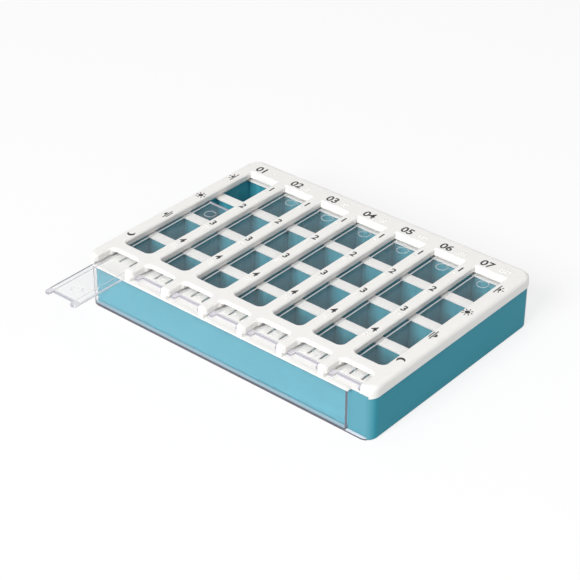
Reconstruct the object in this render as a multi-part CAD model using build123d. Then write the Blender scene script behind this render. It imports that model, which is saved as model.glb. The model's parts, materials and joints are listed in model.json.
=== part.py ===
from build123d import *
import os

# Weekly pill organizer in millimetres: a tray with seven days by four times of day,
# a divider grid, a cover, seven clear lids that slide out of the front, and a clear
# label window. X runs along the days, the lids come out towards -Y, +Z is up, and
# the origin is the middle of the flat underside.

# Counts
columns = 7
rows = 4

# Plan sizes shared by the grid, the tray, the cover and the lids
pocket_width = 23.0
hole_length = 20.3
partition = 2.0
crossbar = 6.0
end_margin = 4.8
front_margin = 18.1
back_margin = 14.1

# Heights, from the underside up
tray_height = 24.1
sill = 0.9
tunnel_height = 3.4
cover_plate = 2.0

# Running gaps and overrun of the cuts
lid_gap = 0.2
lid_side_gap = 0.25
window_gap = 0.2
seat_gap = 0.2
overrun = 5.0

# Tray
tray_inset = 0.5
tray_wall = 2.4
tray_floor = 1.8
tray_foot_radius = 1.3

# Divider grid
grid_corner_radius = 4.0
grid_seat = 1.2
end_rib = 1.0
tongue_width = 7.2
tongue_slot = 1.1
tongue_slot_length = 9.0
tongue_setback = 10.5

# Cover
cover_corner_radius = 6.5
cover_edge_radius = 2.4
rail_width = 6.8
web = 3.3
guide_rib = 1.6
bridge = 7.2
notch_depth = 12.5
notch_post = 5.3
notch_flare = 1.2
notch_flare_length = 2.0
notch_corner_radius = 3.0
opening_corner_radius = 3.0
mouth_chamfer = 0.7
back_lip = 0.2
back_slope = 0.8
finger_notch_width = 11.0
finger_notch_height = 2.4
finger_notch_offset = 1.8
finger_notch_radius = 1.0

# Lids
lid_thickness = 1.5
lid_front_setback = 2.7
lid_back_overlap = 3.9
lid_end_gap = 0.4
lid_wing = 3.55
lid_foot = 3.1
lid_foot_radius = 1.5
lid_rim_front = 1.6
lid_rim_back = 1.0
lid_recess = 0.6
lid_step = 0.6
mark_diameter = 6.1
mark_groove = 0.7
mark_depth = 0.3
mark_back = 9.5
mark_front = 9.2
first_lid_pull = 37.2

# Label window, its recess in the tray's front and the tongue that carries it
window_thickness = 1.8
window_inset = 0.2
window_right_setback = 15.3
window_leg = 12.0
window_rail_height = 0.8
window_rail_setback = 3.4
recess_right_setback = 3.1
window_tongue = 1.0
window_tongue_height = 0.8
window_tongue_low = 1.6
recess_depth = 2.3

# Worked out from the sizes above
column_pitch = pocket_width + partition
row_pitch = hole_length + crossbar
cover_length = columns * column_pitch + 2 * end_margin
cover_width = front_margin + rows * hole_length + (rows - 1) * crossbar + back_margin
tray_length = cover_length - 2 * tray_inset
tray_width = cover_width - 2 * tray_inset
tray_corner_radius = cover_corner_radius - tray_inset
front_y = -cover_width / 2
right_x = cover_length / 2
holes_front_y = front_y + front_margin
holes_back_y = cover_width / 2 - back_margin
column_xs = [(i - (columns - 1) / 2) * column_pitch for i in range(columns)]
rows_middle_y = (holes_front_y + holes_back_y) / 2

grid_top = tray_height + sill
ceiling = grid_top + tunnel_height
overall_height = ceiling + cover_plate
lid_bottom = grid_top + lid_gap
lid_top = lid_bottom + lid_thickness
guide_height = lid_top + lid_gap

tunnel_width = column_pitch - web
opening_width = column_pitch - rail_width
notch_width = column_pitch - notch_post
lid_width = tunnel_width - 2 * lid_side_gap
lid_front_y = front_y + lid_front_setback
lid_back_y = holes_back_y + lid_back_overlap
tunnel_back_y = lid_back_y + lid_end_gap
notch_back_y = front_y + notch_depth
opening_front_y = notch_back_y + bridge
opening_back_y = holes_back_y - back_lip

tray_front_y = -tray_width / 2
recess_y = tray_front_y + recess_depth
grid_length = tray_length - 2 * recess_depth
grid_width = tray_width - 2 * recess_depth
skirt_wall = tray_inset + recess_depth - seat_gap
corner_x = tray_length / 2 - tray_corner_radius
window_right_x = right_x - window_right_setback
rail_right_x = right_x - window_rail_setback
recess_right_x = right_x - recess_right_setback


def span(x_low, x_high, y_low, y_high, z_low, z_high):
    size = Box(x_high - x_low, y_high - y_low, z_high - z_low)
    return Pos((x_low + x_high) / 2, (y_low + y_high) / 2, (z_low + z_high) / 2) * size


def slab(length, width, radius, z_low, z_high):
    return Pos(0, 0, z_low) * extrude(RectangleRounded(length, width, radius), z_high - z_low)


def front_strip(inset, depth, right, leg):
    # Plan of a strip that follows the tray's front, turns its left corner and ends in a leg
    outer = RectangleRounded(
        tray_length - 2 * inset, tray_width - 2 * inset, tray_corner_radius - inset
    )
    inner_inset = inset + depth
    inner = RectangleRounded(
        tray_length - 2 * inner_inset, tray_width - 2 * inner_inset, tray_corner_radius - inner_inset
    )
    left = -tray_length / 2 - overrun
    front = tray_front_y - overrun
    back = tray_front_y + leg
    kept = Pos((left + right) / 2, (front + back) / 2) * Rectangle(right - left, back - front)
    return (outer - inner) & kept


def make_tray():
    tray = extrude(RectangleRounded(tray_length, tray_width, tray_corner_radius), tray_height)
    tray = fillet(tray.edges().group_by(Axis.Z)[0], tray_foot_radius)
    # Recess of the label window, from the left corner to just before the right one
    recess = front_strip(0, recess_depth, corner_x, window_leg + window_gap)
    recess += Pos(0, recess_y) * Rectangle(recess_right_x, tray_width, align=(Align.MIN, Align.MAX))
    tray -= extrude(recess, tray_height)
    pocket = Rectangle(pocket_width, row_pitch - partition)
    pockets = Sketch() + GridLocations(column_pitch, row_pitch, columns, rows) * pocket
    tray -= Pos(0, rows_middle_y, tray_floor) * extrude(pockets, tray_height)
    # Hollows in front of and behind the compartments, closed by the grid above
    hollow_end = columns * column_pitch / 2 - partition / 2
    compartments = rows * row_pitch + partition
    tray -= span(
        -hollow_end, hollow_end, recess_y + tray_wall, rows_middle_y - compartments / 2,
        tray_floor, tray_height,
    )
    tray -= span(
        -hollow_end, hollow_end, rows_middle_y + compartments / 2, grid_width / 2 - grid_seat,
        tray_floor, tray_height,
    )
    # Ribs on the partitions, which stand in the grid's long slots
    rib_length = hole_length - 2 * seat_gap
    rib_height = sill - seat_gap
    rib = Rectangle(partition, rib_length)
    ribs = Sketch() + GridLocations(column_pitch, row_pitch, columns - 1, rows) * rib
    end_x = columns * column_pitch / 2 - partition / 2 + end_rib / 2
    ribs += GridLocations(2 * end_x, row_pitch, 2, rows) * Rectangle(end_rib, rib_length)
    tray += Pos(0, rows_middle_y, tray_height) * extrude(ribs, rib_height)
    # Groove in the front wall for the label window's tongue, open at the left end
    return tray - span(
        -tray_length / 2 - overrun, window_right_x + window_gap, recess_y - overrun, recess_y + window_tongue,
        window_tongue_low - window_gap, window_tongue_low + window_tongue_height + window_gap,
    )


def make_window():
    plan = front_strip(window_inset, window_thickness, window_right_x, window_leg)
    window = Pos(0, 0, window_gap) * extrude(plan, tray_height - 2 * window_gap)
    # Rail along the foot, which runs on past the plate's right end to the tray's corner
    plate_back = tray_front_y + window_inset + window_thickness
    outline = RectangleRounded(
        tray_length - 2 * window_inset, tray_width - 2 * window_inset, tray_corner_radius - window_inset
    )
    bar = Pos(0, plate_back) * Rectangle(rail_right_x, tray_width, align=(Align.MIN, Align.MAX))
    window += Pos(0, 0, window_gap) * extrude(outline & bar, window_rail_height)
    # Tongue along the back, which slides in the tray's front wall
    return window + span(
        -corner_x, window_right_x, plate_back, recess_y + window_tongue - window_gap,
        window_tongue_low, window_tongue_low + window_tongue_height,
    )


def make_grid():
    grid = slab(grid_length, grid_width, grid_corner_radius, tray_height, grid_top)
    hole_end = columns * column_pitch / 2 - partition / 2 + end_rib + seat_gap
    holes = Sketch() + GridLocations(0, row_pitch, 1, rows) * Rectangle(2 * hole_end, hole_length)
    grid -= Pos(0, rows_middle_y, tray_height) * extrude(holes, sill)
    slot_front = front_y + tongue_setback
    slots = []
    for x in column_xs:
        for side in (-1, 1):
            slot_x = x + side * tongue_width / 2
            slots.append(span(
                slot_x - tongue_slot / 2, slot_x + tongue_slot / 2,
                slot_front, slot_front + tongue_slot_length, tray_height, grid_top,
            ))
    return grid - slots


def tunnel_cut(x):
    # Stepped passage of one lid: wide at the lid, narrower above between the guide ribs
    lid_half = tunnel_width / 2
    rib_half = lid_half - guide_rib
    mouth_y = front_y - overrun
    return [
        span(x - lid_half, x + lid_half, mouth_y, tunnel_back_y, grid_top, guide_height),
        span(x - rib_half, x + rib_half, mouth_y, opening_back_y, guide_height, ceiling),
    ]


def opening_cut(x):
    # Long window of one day, with a sloping back wall and rounded front corners
    profile = Polyline(
        (opening_front_y, guide_height),
        (opening_front_y, overall_height),
        (opening_back_y + back_slope, overall_height),
        (opening_back_y, guide_height),
        close=True,
    )
    cut = extrude(Plane.YZ * make_face(profile), opening_width / 2, both=True)
    corners = cut.edges().filter_by(Axis.Z).group_by(Axis.Y)[0]
    return Pos(x, 0, 0) * fillet(corners, opening_corner_radius)


def notch_cut(x):
    # Finger notch in the cover's front edge, over the front of one lid
    half = notch_width / 2
    straight_y = front_y + notch_flare_length
    corner = (half + notch_flare, front_y)
    plan = Polyline(
        (-half, notch_back_y), (-half, straight_y), (-corner[0], front_y), (-corner[0], front_y - overrun),
        (corner[0], front_y - overrun), corner, (half, straight_y), (half, notch_back_y),
        close=True,
    )
    cut = Pos(0, 0, guide_height) * extrude(make_face(plan), overall_height)
    corners = cut.edges().filter_by(Axis.Z).group_by(Axis.Y)[-1]
    return Pos(x, 0, 0) * fillet(corners, notch_corner_radius)


def make_cover():
    cover = slab(cover_length, cover_width, cover_corner_radius, tray_height, overall_height)
    cover = fillet(cover.edges().group_by(Axis.Z)[-1], cover_edge_radius)
    cover -= slab(
        grid_length + 2 * seat_gap, grid_width + 2 * seat_gap, grid_corner_radius + seat_gap,
        tray_height, grid_top,
    )
    cover -= [opening_cut(x) for x in column_xs]
    cover -= [notch_cut(x) for x in column_xs]
    mouths = [
        edge for edge in cover.edges().group_by(Axis.Z)[-1]
        if abs(edge.center().X) < columns * column_pitch / 2
        and front_y + cover_edge_radius < edge.center().Y < opening_back_y + back_lip + back_slope
    ]
    cover = chamfer(mouths, mouth_chamfer)
    for x in column_xs:
        cover -= tunnel_cut(x)
    # Coring under the side and back margins
    web_end = columns * column_pitch / 2
    wall_x = cover_length / 2 - skirt_wall
    wall_y = cover_width / 2 - skirt_wall
    for side in (-1, 1):
        inner = side * web_end
        outer = side * wall_x
        cover -= span(
            min(inner, outer), max(inner, outer), recess_y, wall_y - cover_corner_radius,
            grid_top, ceiling,
        )
    cover -= span(
        cover_corner_radius - wall_x, wall_x - cover_corner_radius, tunnel_back_y + web / 2, wall_y,
        grid_top, ceiling,
    )
    # Finger notch in the skirt, beside the window's right end
    notch_left = window_right_x + finger_notch_offset
    finger = span(
        notch_left, notch_left + finger_notch_width, front_y - overrun, recess_y - seat_gap,
        tray_height - overrun, tray_height + finger_notch_height,
    )
    finger = fillet(finger.edges().filter_by(Axis.Y).group_by(Axis.Z)[-1], finger_notch_radius)
    return cover - finger


def make_lid():
    middle_y = (lid_front_y + lid_back_y) / 2
    plan = Pos(0, middle_y) * Rectangle(lid_width, lid_back_y - lid_front_y)
    panel_width = lid_width - 2 * lid_wing
    plan -= Pos(0, lid_front_y) * Rectangle(panel_width, 2 * lid_foot)
    lid = Pos(0, 0, lid_bottom) * extrude(plan, lid_thickness)
    toes = lid.edges().filter_by(Axis.Z).group_by(Axis.Y)[0]
    lid = fillet(toes, lid_foot_radius)
    panel_front = lid_front_y + lid_foot
    recess_front = panel_front + lid_rim_front
    recess_back = lid_back_y - lid_rim_back
    recess_length = recess_back - recess_front
    recess_floor = lid_top - lid_recess
    recess = loft([
        Pos(0, 0, recess_floor) * Rectangle(panel_width - lid_step, recess_length - lid_step),
        Pos(0, 0, lid_top) * Rectangle(panel_width + lid_step, recess_length + lid_step),
    ])
    lid -= Pos(0, (recess_front + recess_back) / 2, 0) * recess
    # Ring marks: shallow V grooves
    groove = Polyline(
        (mark_diameter / 2 - mark_groove / 2, 0),
        (mark_diameter / 2, -mark_depth),
        (mark_diameter / 2 + mark_groove / 2, 0),
        close=True,
    )
    mark = revolve(Plane.XZ * make_face(groove), Axis.Z)
    for mark_y in (lid_back_y - mark_back, panel_front + mark_front):
        lid -= Pos(0, mark_y, recess_floor) * mark
    return lid


nodes = {
    "tray": make_tray(),
    "divider_grid": make_grid(),
    "top_cover": make_cover(),
    "label_window": make_window(),
}
lid = make_lid()
for number, x in enumerate(column_xs, start=1):
    pull = first_lid_pull if number == 1 else 0
    nodes[f"lid_day_{number}"] = Pos(x, -pull, 0) * lid

os.makedirs("parts", exist_ok=True)
for name, shape in nodes.items():
    export_step(shape, f"parts/{name}.step")
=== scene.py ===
import json
import math
import bpy
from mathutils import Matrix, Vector


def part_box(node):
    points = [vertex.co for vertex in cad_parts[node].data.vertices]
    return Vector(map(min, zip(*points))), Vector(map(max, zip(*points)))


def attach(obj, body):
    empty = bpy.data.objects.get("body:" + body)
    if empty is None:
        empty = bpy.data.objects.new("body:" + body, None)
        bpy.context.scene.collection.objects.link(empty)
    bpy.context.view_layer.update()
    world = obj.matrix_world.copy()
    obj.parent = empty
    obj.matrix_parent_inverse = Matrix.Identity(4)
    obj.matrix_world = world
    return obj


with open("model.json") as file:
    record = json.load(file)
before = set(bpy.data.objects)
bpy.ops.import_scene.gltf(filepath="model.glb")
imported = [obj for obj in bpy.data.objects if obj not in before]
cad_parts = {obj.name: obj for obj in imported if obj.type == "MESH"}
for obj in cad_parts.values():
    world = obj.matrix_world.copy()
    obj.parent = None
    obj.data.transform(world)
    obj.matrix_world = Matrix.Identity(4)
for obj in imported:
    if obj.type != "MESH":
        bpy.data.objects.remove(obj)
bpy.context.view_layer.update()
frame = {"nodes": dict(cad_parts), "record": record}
nodes = frame["nodes"]
mm = 0.001
bpy.ops.object.select_all(action="DESELECT")
print("frame: nodes", len(nodes))

# Places that the CAD gives: cover, lids, compartments and label window
coverLow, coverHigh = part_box("top_cover")
topZ = coverHigh.z
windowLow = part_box("label_window")[0]
lidNames = sorted(name for name in nodes if name.startswith("lid_day_"))
dayXs = [(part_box(name)[0].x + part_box(name)[1].x) / 2 for name in lidNames]
dayPitch = dayXs[1] - dayXs[0]
railXs = [x + dayPitch / 2 for x in dayXs[:-1]]
firstDay = [o for o in frame["record"]["physics"]["openings"] if o["name"].startswith("compartment_day_1")]
timeYs = sorted([(o["box_m"][0][1] + o["box_m"][1][1]) / 2 for o in firstDay], reverse=True)
times = range(1, len(timeYs) + 1)
lidLow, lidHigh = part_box(lidNames[-1])     # a lid that is shut
lidHalf = (lidHigh.x - lidLow.x) / 2
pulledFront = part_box(lidNames[0])[0].y     # front of the lid that is pulled out
print("layout: days", len(dayXs), "times", len(timeYs))


# Shader helpers

def startMaterial(name):
    material = bpy.data.materials.new(name)
    material.use_nodes = True
    tree = material.node_tree
    return material, tree, tree.nodes["Principled BSDF"]


def addNode(tree, kind, **inputs):
    node = tree.nodes.new(kind)
    for key, value in inputs.items():
        node.inputs[key].default_value = value
    return node


def grain(tree, scale, detail):
    place = tree.nodes.new("ShaderNodeTexCoord")
    noise = addNode(tree, "ShaderNodeTexNoise", Scale=scale, Detail=detail)
    tree.links.new(place.outputs["Object"], noise.inputs["Vector"])
    return noise.outputs["Fac"]


def ramp(tree, source, low, high, start=0, end=1):
    shade = tree.nodes.new("ShaderNodeMapRange")
    for key, value in (("From Min", start), ("From Max", end), ("To Min", low), ("To Max", high)):
        shade.inputs[key].default_value = value
    tree.links.new(source, shade.inputs["Value"])
    return shade.outputs["Result"]


def above(tree, source, limit, blur):
    return ramp(tree, source, 0, 1, limit, limit + blur)


def below(tree, source, limit, blur):
    return ramp(tree, source, 1, 0, limit, limit + blur)


def tint(tree, source, dark, light):
    mix = tree.nodes.new("ShaderNodeMix")
    mix.data_type = "RGBA"
    for key, colour in (("A", dark), ("B", light)):
        if isinstance(colour, tuple):
            mix.inputs[key].default_value = (*colour, 1)
        else:
            tree.links.new(colour, mix.inputs[key])
    tree.links.new(source, mix.inputs["Factor"])
    return mix.outputs["Result"]


def combine(tree, operation, first, second=None):
    node = tree.nodes.new("ShaderNodeMath")
    node.operation = operation
    tree.links.new(first, node.inputs[0])
    if second is not None:
        tree.links.new(second, node.inputs[1])
    return node.outputs["Value"]


def size(tree, source):
    return combine(tree, "ABSOLUTE", source)


def wrapped(tree, source, pitch):
    node = tree.nodes.new("ShaderNodeMath")
    node.operation = "WRAP"
    node.inputs[1].default_value = pitch / 2
    node.inputs[2].default_value = -pitch / 2
    tree.links.new(source, node.inputs[0])
    return node.outputs["Value"]


def largest(tree, *masks):
    total = masks[0]
    for mask in masks[1:]:
        total = combine(tree, "MAXIMUM", total, mask)
    return total


def both(tree, *masks):
    total = masks[0]
    for mask in masks[1:]:
        total = combine(tree, "MULTIPLY", total, mask)
    return total


def axes(tree, kind, letters):
    place = tree.nodes.new("ShaderNodeTexCoord")
    split = tree.nodes.new("ShaderNodeSeparateXYZ")
    tree.links.new(place.outputs[kind], split.inputs["Vector"])
    return [split.outputs[letter] for letter in letters]


# Moulded plastics of the tray, the grid and the cover

whitePlastic = {
    "dark": (0.925, 0.912, 0.884),
    "light": (0.955, 0.943, 0.915),
    "mottle": (26, 4),          # cloudiness of the moulding: scale and detail
    "texture": (2600, 2),       # fine spark texture: scale and detail
    "roughness": (0.34, 0.46),
    "specular": 0.42,
    "bump": 0.045,
    "bumpDepth": 0.05 * mm,
    "softEdge": 0.35 * mm,
    "edgeSamples": 6,
    "glow": 0.20,               # share of light that goes through the skin of the plastic
    "glowDepth": 0.8 * mm,
}
tealPlastic = {
    "dark": (0.030, 0.284, 0.376),
    "light": (0.042, 0.316, 0.414),
    "mottle": (22, 4),
    "texture": (2200, 2),
    "roughness": (0.36, 0.50),
    "specular": 0.10,
    "bump": 0.05,
    "bumpDepth": 0.05 * mm,
    "softEdge": 0.4 * mm,
    "edgeSamples": 6,
    "glow": 0,
    "glowDepth": 1 * mm,
    "inside": (0.074, 0.372, 0.456),       # painted light: paler walls inside the compartments, for the light they pass each other
    "insideReach": 88 * mm,                # half the length of all compartments
    "insideEnds": (-48.2 * mm, 55 * mm),   # their front and back ends
    "streaks": (700, 700, 40),             # streaks that run up the walls, along which the painted light varies
    "streakDetail": 2,
    "streakNoise": (0.3, 0.65),            # noise at a weak and at a full streak
    "weakStreak": 0.25,
    "front": (0.120, 0.364, 0.450),        # painted sheen: paler front faces, with the floor of the label window's recess
    "recessDepth": (1.5 * mm, 5 * mm),     # where that floor lies, from the window's outer face
    "frontTurn": (-0.85, -0.25),           # normals along Y, from a front face to one that isn't
    "leftTurn": (-0.7, -0.4),              # normals along X, the same for a left face
    "blur": 0.1 * mm,                      # soft border between two tones
}


# Painted light: the compartments' walls are coloured paler, in streaks, for the light they pass each other
def brightInside(tree, colour, look):
    x, y = axes(tree, "Object", "XY")
    blur = look["blur"]
    front, back = look["insideEnds"]
    mask = both(tree, below(tree, size(tree, x), look["insideReach"], blur),
                above(tree, y, front - blur, blur), below(tree, y, back, blur))
    place = tree.nodes.new("ShaderNodeTexCoord")
    stretch = addNode(tree, "ShaderNodeMapping", Scale=look["streaks"])
    noise = addNode(tree, "ShaderNodeTexNoise", Scale=1, Detail=look["streakDetail"])
    tree.links.new(place.outputs["Object"], stretch.inputs["Vector"])
    tree.links.new(stretch.outputs["Vector"], noise.inputs["Vector"])
    streak = ramp(tree, noise.outputs["Fac"], look["weakStreak"], 1, *look["streakNoise"])
    return tint(tree, both(tree, mask, streak), colour, look["inside"])


# Painted sheen: faces toward the front near the label window's recess, and its left wall, are coloured paler
def frostedFront(tree, colour, look):
    x, y = axes(tree, "Object", "XY")
    across, along = axes(tree, "Normal", "XY")
    near, far = look["recessDepth"]
    blur = look["blur"]
    front = both(tree, ramp(tree, along, 1, 0, *look["frontTurn"]), below(tree, y, windowLow.y + far, blur))
    left = both(tree, ramp(tree, across, 1, 0, *look["leftTurn"]),
                above(tree, x, windowLow.x + near, blur), below(tree, x, windowLow.x + far, blur))
    return tint(tree, largest(tree, front, left), colour, look["front"])


def makeMoulding(name, look):
    material, tree, plastic = startMaterial(name)
    cloud = grain(tree, *look["mottle"])
    spark = grain(tree, *look["texture"])
    colour = tint(tree, cloud, look["dark"], look["light"])
    # painted light inside the compartments, then a painted sheen on the front faces
    if "inside" in look:
        colour = frostedFront(tree, brightInside(tree, colour, look), look)
    tree.links.new(colour, plastic.inputs["Base Color"])
    tree.links.new(ramp(tree, spark, *look["roughness"]), plastic.inputs["Roughness"])
    plastic.inputs["Specular IOR Level"].default_value = look["specular"]
    plastic.inputs["Subsurface Weight"].default_value = look["glow"]
    plastic.inputs["Subsurface Radius"].default_value = (1, 1, 1)
    plastic.inputs["Subsurface Scale"].default_value = look["glowDepth"]
    rounded = addNode(tree, "ShaderNodeBevel", Radius=look["softEdge"])
    rounded.samples = look["edgeSamples"]
    bump = addNode(tree, "ShaderNodeBump", Strength=look["bump"], Distance=look["bumpDepth"])
    tree.links.new(spark, bump.inputs["Height"])
    tree.links.new(rounded.outputs["Normal"], bump.inputs["Normal"])
    tree.links.new(bump.outputs["Normal"], plastic.inputs["Normal"])
    return material


# Clear plastic of the lids and the label window, with painted highlights and painted shade on their edges

clearPlastic = {
    "colour": (0.972, 0.975, 0.979),
    "grazingShade": (0.62, 0.61, 0.65),     # painted shade, where the eye skims along a face
    "skim": (0.80, 0.98),              # where that starts and where it is full
    "edgeCover": 0.80,                 # how much an edge hides what is behind it
    "blur": 0.05 * mm,                 # borders of the tones, from narrow to wide
    "softBlur": 0.1 * mm,
    "wideBlur": 1 * mm,
    "shadowTint": (0.996, 0.998, 0.999),
    "ior": 1.01,
    "gloss": (1, 1, 1),                # tint of what the faces mirror
    "coat": 0.9,
    "coatIor": 1.5,
    "ripple": (60, 3),                 # scale and detail
    "roughness": (0.015, 0.06),
}
lidPlastic = dict(
    clearPlastic,
    # painted highlight on the right edges, painted shade on the left ones
    paintedRightHighlight=(0.97, 0.965, 0.99),
    paintedLeftShade=(0.46, 0.46, 0.49),
    leftHeight=0.8 * mm,               # height of the left edge that shows through the lid
    frontTop=(0.26, 0.255, 0.30),      # painted shade on the front edge, from its top to its foot
    frontFoot=(0.64, 0.63, 0.70),
    lip=(0.74, 0.73, 0.79),            # frosted toes and front rim
    lipDepth=4.1 * mm,
    outline=(0.52, 0.52, 0.57),        # painted shade along the foot of the right edge
    outlineHeight=0.3 * mm,
    line=(0.66, 0.68, 0.70),           # painted highlight on the rounded rim of the step round the panel
    lineWidth=0.35 * mm,
    lineHeight=0.25 * mm,
    rimFromSide=3.25 * mm,
    panelDepth=0.6 * mm,
    ringShare=0.50,                    # the ring marks take less of the painted highlight than the step
    crossShare=0.3,                    # and so does the step where it runs across the lid
    uprightTurn=(0.3, 0.5),            # normals along Z, from an upright face to one that isn't
    slantTurn=(0.5, 0.6),              # the same from upright to slanted,
    flatTurn=(0.80, 0.88),             # from slanted to nearly flat
    levelTurn=(0.9, 0.95),             # and on to level
    frontTurn=(0.6, 0.8),              # normals along Y, up to a front face
    alongTurn=(0.2, 0.6),              # normals along X, up to a step that runs along the lid
)
windowPlastic = dict(
    clearPlastic,
    colour=(0.925, 0.935, 0.942),
    endEdgeShade=(0.56, 0.43, 0.49),        # painted shade on the plate's right end
    endFromSide=15.3 * mm,             # from the cover's side to that end
    # painted highlight on the rail's top past the plate's end
    railTopHighlight=(0.80, 0.80, 0.86),
    foot=(0.14, 0.125, 0.15),          # painted shade on the front of the rail along the foot
    footHeight=1.8 * mm,
    gleam=(0.35, 0.50, 0.58),          # painted gleam, a pale band above it
    gleamHeight=(3.5 * mm, 3.9 * mm),  # where the band fades out
    corner=(0.16, 0.15, 0.16),         # painted dark line, broken, on the round corner's outline
    cornerReach=6 * mm,
    cornerBlur=1.2 * mm,
    dashes=(130, 1),                   # scale and detail
    dashNoise=(0.40, 0.52),            # noise at a gap and at a dash
    railTurn=(0.75, 0.85),             # normals along Z, up to the rail's top
    uprightTurn=(0.5, 0.8),            # normals along Z, from an upright face to one that isn't
    endTurn=(0.8, 0.9),                # normals along X, up to an end face
    cornerTurn=(0.55, 0.75),           # how far the corner's face turns from the eye
    ior=1.42,
    gloss=(0.05, 0.05, 0.05),
    coat=0.1,
    coatIor=1.55,
)


def lidEdges(tree, look):
    across, along, upward = axes(tree, "Normal", "XYZ")
    x, y, z = axes(tree, "Object", "XYZ")
    blur, softBlur, wideBlur = look["blur"], look["softBlur"], look["wideBlur"]
    side = wrapped(tree, x, dayPitch)     # from the lid's own middle
    slope = size(tree, upward)

    # Upright faces: painted highlight on the right edge, painted shade on the left and front edge
    upright = ramp(tree, slope, 1, 0, *look["uprightTurn"])
    front = both(tree, upright, ramp(tree, size(tree, along), 0, 1, *look["frontTurn"]))
    right = ramp(tree, side, 0, 1, -wideBlur, wideBlur)
    upper = above(tree, z, lidHigh.z - look["leftHeight"], blur)
    edge = both(tree, upright, largest(tree, right, upper, front))

    # Slanted faces: painted highlight on the step round the panel, and on the ring marks below it
    slant = both(tree, ramp(tree, slope, 0, 1, *look["slantTurn"]),
                 ramp(tree, slope, 1, 0, *look["flatTurn"]))
    stepTop = above(tree, z, lidHigh.z - look["lineHeight"], blur)
    lengthwise = ramp(tree, size(tree, across), look["crossShare"], 1, *look["alongTurn"])
    panel = lidHigh.z - look["panelDepth"]
    ring = ramp(tree, z, look["ringShare"], 0, panel - blur, panel)
    step = both(tree, slant, largest(tree, both(tree, stepTop, lengthwise), ring))

    # Level faces: frosted front lip, and a painted highlight on the rounded rim beside the step
    level = ramp(tree, slope, 0, 1, *look["levelTurn"])
    top = both(tree, level, above(tree, z, lidHigh.z - softBlur, softBlur))
    lip = both(tree, top, below(tree, y, look["frontY"] + look["lipDepth"], softBlur))
    away = size(tree, side)
    rim = lidHalf - look["rimFromSide"]
    line = both(tree, top, above(tree, away, rim - blur, blur),
                below(tree, away, rim + look["lineWidth"], blur))

    low = lidLow.z + look["outlineHeight"]
    colour = tint(tree, above(tree, z, low - blur, blur), look["outline"], look["paintedRightHighlight"])
    colour = tint(tree, right, look["paintedLeftShade"], colour)
    fade = tint(tree, ramp(tree, z, 0, 1, lidLow.z, lidHigh.z), look["frontFoot"], look["frontTop"])
    colour = tint(tree, front, colour, fade)
    flat = tint(tree, lip, look["line"], look["lip"])
    return largest(tree, edge, step, line, lip), tint(tree, upright, flat, colour)


def windowEdges(tree, look):
    across, upward = axes(tree, "Normal", "XZ")
    x, y, z = axes(tree, "Object", "XYZ")
    outside = ramp(tree, tree.nodes.new("ShaderNodeNewGeometry").outputs["Backfacing"], 1, 0)

    # Painted shade on the right end of the plate, and a painted highlight on the rail's top past it
    past = above(tree, x, coverHigh.x - look["endFromSide"], look["softBlur"])
    railTopHighlight = both(tree, ramp(tree, upward, 0, 1, *look["railTurn"]), past, outside)
    rightHalf = above(tree, x, 0, look["wideBlur"])
    end = both(tree, ramp(tree, across, 0, 1, *look["endTurn"]), rightHalf, outside)

    # Painted shade on the foot, and a painted gleam above it
    upright = both(tree, ramp(tree, size(tree, upward), 1, 0, *look["uprightTurn"]), outside)
    foot = both(tree, below(tree, z, look["footHeight"], look["blur"]), upright)
    gleam = both(tree, ramp(tree, z, 1, 0, *look["gleamHeight"]), upright)

    # Painted dark outline of the round corner, as thick clear plastic shows it
    bend = both(tree, below(tree, x, windowLow.x + look["cornerReach"], look["cornerBlur"]),
                below(tree, y, windowLow.y + look["cornerReach"], look["cornerBlur"]))
    broken = ramp(tree, grain(tree, *look["dashes"]), 0, 1, *look["dashNoise"])
    facing = tree.nodes.new("ShaderNodeLayerWeight").outputs["Facing"]
    corner = both(tree, ramp(tree, facing, 0, 1, *look["cornerTurn"]), bend, broken, outside)

    colour = tint(tree, gleam, look["railTopHighlight"], look["gleam"])
    colour = tint(tree, end, colour, look["endEdgeShade"])
    colour = tint(tree, corner, colour, look["corner"])
    return largest(tree, railTopHighlight, end, foot, gleam, corner), tint(tree, foot, colour, look["foot"])


def makeClear(name, look, edges):
    material, tree, plastic = startMaterial(name)
    mask, edgeColour = edges(tree, look)
    ripple = grain(tree, *look["ripple"])
    # Painted shade on the clear plastic where the eye skims along its faces
    facing = tree.nodes.new("ShaderNodeLayerWeight").outputs["Facing"]
    skim = ramp(tree, facing, 0, 1, *look["skim"])
    clear = tint(tree, skim, look["colour"], look["grazingShade"])
    tree.links.new(tint(tree, mask, clear, edgeColour), plastic.inputs["Base Color"])
    tree.links.new(ramp(tree, mask, 1, 1 - look["edgeCover"]), plastic.inputs["Transmission Weight"])
    plastic.inputs["IOR"].default_value = look["ior"]
    plastic.inputs["Specular Tint"].default_value = (*look["gloss"], 1)
    plastic.inputs["Coat Weight"].default_value = look["coat"]
    plastic.inputs["Coat IOR"].default_value = look["coatIor"]
    plastic.inputs["Coat Roughness"].default_value = look["roughness"][0]
    tree.links.new(ramp(tree, ripple, *look["roughness"]), plastic.inputs["Roughness"])
    passing = addNode(tree, "ShaderNodeBsdfTransparent", Color=(*look["shadowTint"], 1))
    path = tree.nodes.new("ShaderNodeLightPath")
    choose = tree.nodes.new("ShaderNodeMixShader")
    tree.links.new(path.outputs["Is Shadow Ray"], choose.inputs["Fac"])
    tree.links.new(plastic.outputs["BSDF"], choose.inputs[1])
    tree.links.new(passing.outputs["BSDF"], choose.inputs[2])
    tree.links.new(choose.outputs["Shader"], tree.nodes["Material Output"].inputs["Surface"])
    return material


# Printing ink of the marks on the cover

markInk = {
    "dark": (0.018, 0.017, 0.017),
    "light": (0.036, 0.034, 0.033),
    "speckle": (900, 3),       # scale and detail
    "roughness": (0.42, 0.62),
}


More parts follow.
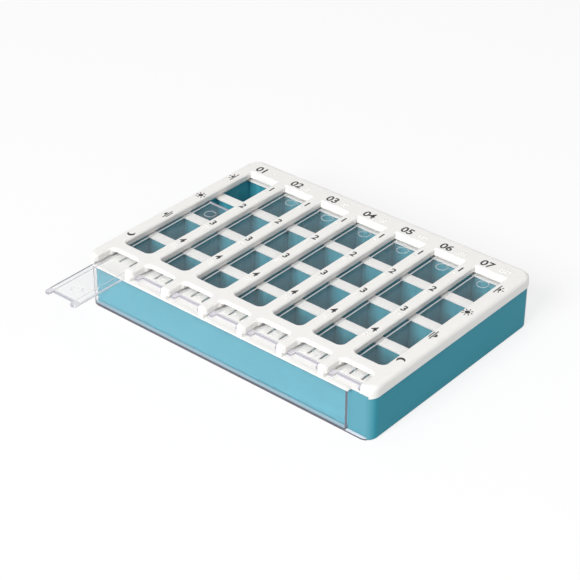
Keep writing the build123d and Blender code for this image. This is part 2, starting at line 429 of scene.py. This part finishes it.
def makeInk(name, look):
    material, tree, ink = startMaterial(name)
    speckle = grain(tree, *look["speckle"])
    tree.links.new(tint(tree, speckle, look["dark"], look["light"]), ink.inputs["Base Color"])
    tree.links.new(ramp(tree, speckle, *look["roughness"]), ink.inputs["Roughness"])
    return material


def dress(piece, material):
    piece.data.materials.clear()
    piece.data.materials.append(material)


white = makeMoulding("whitePlastic", whitePlastic)
teal = makeMoulding("tealPlastic", tealPlastic)
shutLid = makeClear("clearLid", dict(lidPlastic, frontY=lidLow.y), lidEdges)
pulledLid = makeClear("clearLidPulled", dict(lidPlastic, frontY=pulledFront), lidEdges)
clearWindow = makeClear("clearWindow", windowPlastic, windowEdges)
ink = makeInk("markInk", markInk)
dress(nodes["tray"], teal)
dress(nodes["divider_grid"], white)
dress(nodes["top_cover"], white)
dress(nodes["label_window"], clearWindow)
dress(nodes[lidNames[0]], pulledLid)
for name in lidNames[1:]:
    dress(nodes[name], shutLid)
print("materials: white, teal and clear plastic, ink")


# Printed marks: a thin layer of ink on the cover's top

inkLayer = {
    "lift": 0.03 * mm,         # how far the ink stands on the cover
    "sink": 0.02 * mm,         # how far it reaches into the cover
    "digitShare": 0.7,         # a digit's height as a share of the font's size
}
dayNumber = {
    "height": 5.0 * mm,
    "weight": 0.16 * mm,       # thickening of the strokes
    "fromBack": 8.7 * mm,      # from the cover's back edge
    "shift": -5.4 * mm,        # left of the column's middle
}
railNumber = {
    "height": 4.2 * mm,
    "weight": 0.14 * mm,
    "firstY": 44.2 * mm,
    "step": 23.2 * mm,
}
inkThickness = inkLayer["lift"] + inkLayer["sink"]
dayNumberY = coverHigh.y - dayNumber["fromBack"]


def pick(pieces):
    bpy.ops.object.select_all(action="DESELECT")
    for piece in pieces:
        piece.select_set(True)
    bpy.context.view_layer.objects.active = pieces[0]


def settle(pieces):
    pick(pieces)
    bpy.ops.object.transform_apply(location=True, rotation=True, scale=True)


def layInk(mark, x, y, turn=0):
    mark.rotation_euler = (0, 0, turn)
    mark.location = (x, y, topZ)
    settle([mark])
    dress(mark, ink)
    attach(mark, "base")


def addNumber(name, digits, look, x, y):
    bpy.ops.object.select_all(action="DESELECT")
    bpy.ops.object.text_add(location=(0, 0, 0))
    mark = bpy.context.object
    mark.name = name
    mark.data.body = digits
    mark.data.align_x = "CENTER"
    mark.data.align_y = "CENTER"
    mark.data.size = look["height"] / inkLayer["digitShare"]
    mark.data.offset = look["weight"]
    mark.data.extrude = inkThickness / 2
    bpy.ops.object.convert(target="MESH")
    layInk(mark, x, y)


def railNumberY(time):
    return railNumber["firstY"] - (time - 1) * railNumber["step"]


for day, x in enumerate(dayXs, start=1):
    addNumber(f"day_number_{day}", f"0{day}", dayNumber, x + dayNumber["shift"], dayNumberY)
for day, x in enumerate(railXs, start=1):
    for time in times:
        addNumber(f"time_number_{day}_{time}", str(time), railNumber, x, railNumberY(time))
print("marks: day numbers and time numbers")


# Time of day pictures on the two side margins: rising sun, high sun, setting sun, moon

timePicture = {
    "fromSide": 4.9 * mm,      # from the cover's side to the picture's middle
    "discSides": 36,
    "sun": 1.35 * mm,
    "ray": (0.60 * mm, 1.05 * mm),
    "rayGap": 0.50 * mm,       # between the sun and its rays
    "risingRays": (-60, 0, 60),
    "highRays": range(0, 360, 45),
    "ground": (7.6 * mm, 0.60 * mm),
    "groundGap": 0.60 * mm,
    "groundTaper": 0.3,        # share by which the second line is shorter
    "moon": 2.1 * mm,
    "bite": 1.75 * mm,
    "biteShift": (1.1 * mm, 0.6 * mm),
    "biteStretch": 4,          # makes the cutter taller than the ink
}


def flatDisc(look, radius, half=False):
    bpy.ops.object.select_all(action="DESELECT")
    bpy.ops.mesh.primitive_circle_add(vertices=look["discSides"], radius=radius, fill_type="NGON",
                                      location=(0, 0, 0))
    disc = bpy.context.object
    if half:
        bpy.ops.object.mode_set(mode="EDIT")
        bpy.ops.mesh.select_all(action="SELECT")
        bpy.ops.mesh.bisect(plane_co=(0, 0, 0), plane_no=(0, 1, 0), clear_inner=True)
        bpy.ops.object.mode_set(mode="OBJECT")
    return disc


def flatBar(width, height, x, y, turn=0):
    bpy.ops.object.select_all(action="DESELECT")
    bpy.ops.mesh.primitive_plane_add(size=1, location=(x, y, 0), rotation=(0, 0, turn))
    bar = bpy.context.object
    bar.scale = (width, height, 1)
    return bar


def rays(look, angles):
    out = look["sun"] + look["rayGap"] + look["ray"][1] / 2
    return [
        flatBar(*look["ray"], out * math.sin(angle), out * math.cos(angle), -angle)
        for angle in (math.radians(a) for a in angles)
    ]


def ground(look, lines):
    width, height = look["ground"]
    step = height + look["groundGap"]
    return [
        flatBar(width * (1 - look["groundTaper"] * i), height, 0, -look["groundGap"] - i * step)
        for i in range(lines)
    ]


def thicken(pieces, name):
    settle(pieces)
    if len(pieces) > 1:
        bpy.ops.object.join()
    picture = bpy.context.object
    picture.name = name
    bpy.ops.object.mode_set(mode="EDIT")
    bpy.ops.mesh.select_all(action="SELECT")
    bpy.ops.transform.translate(value=(0, 0, -inkLayer["sink"]))
    bpy.ops.mesh.extrude_region_move(TRANSFORM_OT_translate={"value": (0, 0, inkThickness)})
    bpy.ops.mesh.select_all(action="SELECT")
    bpy.ops.mesh.normals_make_consistent(inside=False)
    bpy.ops.object.mode_set(mode="OBJECT")
    return picture


def risingSun(look, name):
    sun = flatDisc(look, look["sun"], half=True)
    return thicken([sun] + rays(look, look["risingRays"]) + ground(look, 1), name)


def highSun(look, name):
    return thicken([flatDisc(look, look["sun"])] + rays(look, look["highRays"]), name)


def settingSun(look, name):
    return thicken([flatDisc(look, look["sun"], half=True)] + ground(look, 2), name)


def moon(look, name):
    crescent = thicken([flatDisc(look, look["moon"])], name)
    bite = flatDisc(look, look["bite"])
    bite.location = (*look["biteShift"], 0)
    bite = thicken([bite], "bite")
    bite.scale = (1, 1, look["biteStretch"])
    cut = crescent.modifiers.new("bite", "BOOLEAN")
    cut.operation = "DIFFERENCE"
    cut.solver = "EXACT"
    cut.object = bite
    pick([crescent])
    bpy.ops.object.modifier_apply(modifier="bite")
    bpy.data.objects.remove(bite)
    return crescent


pictures = [("morning", risingSun), ("noon", highSun), ("evening", settingSun), ("night", moon)]
for (time, draw), y in zip(pictures, timeYs):
    layInk(draw(timePicture, f"{time}_mark_left"), coverLow.x + timePicture["fromSide"], y, math.pi / 2)
    layInk(draw(timePicture, f"{time}_mark_right"), coverHigh.x - timePicture["fromSide"], y, -math.pi / 2)
print("marks: time of day pictures", 2 * len(pictures))


# Raised dots to feel, moulded on the cover: as many as the number beside them

touchDot = {
    "radius": 0.62 * mm,
    "height": 0.40 * mm,
    "root": 0.08 * mm,         # how far a dot reaches into the cover
    "segments": 12,
    "rings": 8,
    "pitch": 1.75 * mm,
    "dayShift": 3.1 * mm,                  # from the column's middle to the first dot
    "timeShift": (-0.85 * mm, -4.4 * mm),  # from the number to the first dot
}


def dotDome(look):
    bpy.ops.object.select_all(action="DESELECT")
    bpy.ops.mesh.primitive_uv_sphere_add(segments=look["segments"], ring_count=look["rings"],
                                         radius=look["radius"], location=(0, 0, 0))
    dome = bpy.context.object
    bpy.ops.object.mode_set(mode="EDIT")
    bpy.ops.mesh.select_all(action="SELECT")
    bpy.ops.mesh.bisect(plane_co=(0, 0, 0), plane_no=(0, 0, 1), clear_inner=True, use_fill=True)
    bpy.ops.mesh.select_all(action="SELECT")
    bpy.ops.transform.resize(value=(1, 1, (look["height"] + look["root"]) / look["radius"]))
    bpy.ops.transform.translate(value=(0, 0, topZ - look["root"]))
    bpy.ops.mesh.normals_make_consistent(inside=False)
    bpy.ops.mesh.faces_shade_smooth()
    bpy.ops.object.mode_set(mode="OBJECT")
    return dome


def addDots(name, spots):
    dome = dotDome(touchDot)
    copies = []
    for x, y in spots:
        copy = dome.copy()
        copy.data = dome.data.copy()
        copy.location = (x, y, 0)
        bpy.context.collection.objects.link(copy)
        copies.append(copy)
    bpy.data.objects.remove(dome)
    settle(copies)
    bpy.ops.object.join()
    dots = bpy.context.object
    dots.name = name
    dress(dots, white)
    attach(dots, "base")


def dotSpots(count, x, y, pitch):
    return [(x + (i // 2) * pitch, y - (i % 2) * pitch) for i in range(count)]


dotPitch = touchDot["pitch"]
daySpots = []
for day, x in enumerate(dayXs, start=1):
    daySpots += dotSpots(day, x + touchDot["dayShift"], dayNumberY + dotPitch / 2, dotPitch)
timeSpots = []
shiftX, shiftY = touchDot["timeShift"]
for x in railXs:
    for time in times:
        timeSpots += dotSpots(time, x + shiftX, railNumberY(time) + shiftY, dotPitch)
addDots("day_dots", daySpots)
addDots("time_dots", timeSpots)
print("marks: raised dots", len(daySpots) + len(timeSpots))


# Camera at the photograph's angle

cameraPlace = {
    "lens": 105.38,           # both in mm
    "sensor": 36,
    "turn": 40.48,            # degrees from the front towards the right
    "rise": 32.82,            # degrees above the table
    "distance": 0.86925,
    "right": -8.85 * mm,
    "up": 11.62 * mm,
}


def addCamera(place):
    turn, rise = math.radians(place["turn"]), math.radians(place["rise"])
    back = Vector((math.sin(turn) * math.cos(rise), -math.cos(turn) * math.cos(rise), math.sin(rise)))
    right = Vector((math.cos(turn), math.sin(turn), 0))
    up = back.cross(right)
    bpy.ops.object.camera_add()
    camera = bpy.context.object
    camera.data.lens = place["lens"]
    camera.data.sensor_width = place["sensor"]
    camera.location = back * place["distance"] + right * place["right"] + up * place["up"]
    camera.rotation_mode = "QUATERNION"
    camera.rotation_quaternion = (-back).to_track_quat("-Z", "Y")
    bpy.context.scene.camera = camera


addCamera(cameraPlace)
print("camera: placed")


# Table and studio light

studio = {
    "floorSize": 14,
    "floorDrop": 0.02 * mm,   # keeps the floor off the tray's underside
    "floorColour": 0.64,
    "seenShade": 0.26,        # the part of the floor's white that takes shadows
    "sky": 0.37,
    "skyThrough": 0.19,       # sky light that the clear plastic spreads on what lies under it
    "seenTop": 0.62,          # the sky overhead, where gloss and glass show it
    "seenBand": (0.15, 0.5),  # heights between the white horizon and that sky
    "lamps": [
        {"name": "keySoftbox", "spot": (0.12, -2.62, 1.80), "size": 1.4, "power": 87.0},
        {"name": "fillSoftbox", "spot": (1.98, -0.80, 2.36), "size": 2.0, "power": 18.4},
    ],
}


def grey(level):
    return (level, level, level, 1)


def seenRays(tree):
    path = tree.nodes.new("ShaderNodeLightPath")
    seen = largest(tree, *(path.outputs[f"Is {ray} Ray"] for ray in ("Camera", "Glossy", "Transmission")))
    direct = combine(tree, "LESS_THAN", path.outputs["Diffuse Depth"])   # no light that a matt face passes on
    return both(tree, seen, direct)


def addFloor(look):
    bpy.ops.object.select_all(action="DESELECT")
    bpy.ops.mesh.primitive_plane_add(size=look["floorSize"], location=(0, 0, -look["floorDrop"]))
    floor = bpy.context.object
    floor.name = "floor"
    material = bpy.data.materials.new("paleFloor")
    material.use_nodes = True
    tree = material.node_tree
    tree.nodes.clear()
    out = tree.nodes.new("ShaderNodeOutputMaterial")
    plain = addNode(tree, "ShaderNodeBsdfDiffuse", Color=grey(look["floorColour"]))
    shaded = addNode(tree, "ShaderNodeBsdfDiffuse", Color=grey(look["seenShade"]))
    glow = addNode(tree, "ShaderNodeEmission", Strength=1 - look["seenShade"])
    seen = tree.nodes.new("ShaderNodeAddShader")
    tree.links.new(shaded.outputs["BSDF"], seen.inputs[0])
    tree.links.new(glow.outputs["Emission"], seen.inputs[1])
    choose = tree.nodes.new("ShaderNodeMixShader")
    tree.links.new(seenRays(tree), choose.inputs["Fac"])
    tree.links.new(plain.outputs["BSDF"], choose.inputs[1])
    tree.links.new(seen.outputs["Shader"], choose.inputs[2])
    tree.links.new(choose.outputs["Shader"], out.inputs["Surface"])
    floor.data.materials.append(material)


def addSky(look):
    world = bpy.data.worlds.new("paleStudio")
    bpy.context.scene.world = world
    world.use_nodes = True
    tree = world.node_tree
    tree.nodes.clear()
    out = tree.nodes.new("ShaderNodeOutputWorld")
    light = addNode(tree, "ShaderNodeBackground", Color=grey(1))
    path = tree.nodes.new("ShaderNodeLightPath")
    strength = ramp(tree, path.outputs["Is Transmission Ray"], look["sky"], look["skyThrough"])
    tree.links.new(strength, light.inputs["Strength"])
    shown = addNode(tree, "ShaderNodeBackground", Color=grey(1))
    height = axes(tree, "Generated", "Z")[0]
    tree.links.new(ramp(tree, height, 1, look["seenTop"], *look["seenBand"]), shown.inputs["Strength"])
    choose = tree.nodes.new("ShaderNodeMixShader")
    tree.links.new(seenRays(tree), choose.inputs["Fac"])
    tree.links.new(light.outputs["Background"], choose.inputs[1])
    tree.links.new(shown.outputs["Background"], choose.inputs[2])
    tree.links.new(choose.outputs["Shader"], out.inputs["Surface"])


def addSoftbox(lamp):
    spot = Vector(lamp["spot"])
    bpy.ops.object.light_add(type="AREA", location=spot)
    box = bpy.context.object
    box.name = lamp["name"]
    box.data.shape = "SQUARE"
    box.data.size = lamp["size"]
    box.data.energy = lamp["power"]
    box.visible_transmission = False   # its light already comes through the clear plastic
    box.rotation_mode = "QUATERNION"
    box.rotation_quaternion = (-spot).to_track_quat("-Z", "Y")


addFloor(studio)
addSky(studio)
for lamp in studio["lamps"]:
    addSoftbox(lamp)
bpy.context.scene.view_settings.view_transform = "Standard"
print("studio: floor, sky and softboxes")
